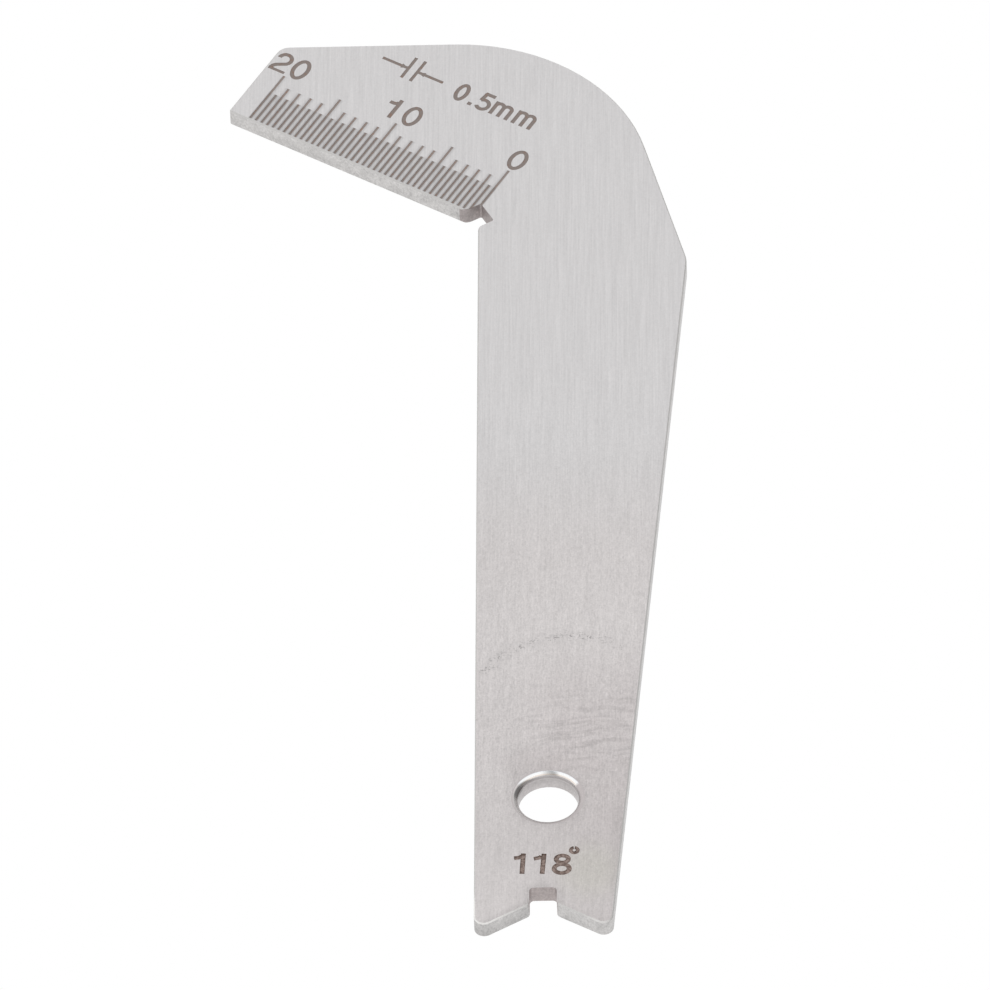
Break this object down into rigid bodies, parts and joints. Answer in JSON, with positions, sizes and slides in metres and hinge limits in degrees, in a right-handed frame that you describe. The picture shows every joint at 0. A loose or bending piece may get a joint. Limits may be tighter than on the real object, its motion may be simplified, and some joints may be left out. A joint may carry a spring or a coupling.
{
  "type": "drill point gauge",
  "caption": "Flat hooked steel plate with a graduated edge and an angled end notch, held against a twist drill to check its point angle and the length of its lips.",
  "frame": {"origin": "the measuring corner, where the stem's straight edge and the arm's graduated edge would meet, on the underside of the plate", "axes": "+X across the stem from its straight edge, +Y up the stem towards the head, +Z out of the graduated face; the plate lies on its underside"},
  "size_m": [0.0348, 0.0901, 0.0015],
  "materials": {
    "plate": "fine brushed grain along the stem, softly mottled near the hang hole",
    "etched_marks": "matte dark oxide in the etched lines and numerals"
  },
  "bodies": {
    "root": {"gauge_plate": "plate"}
  },
  "joints": []
}
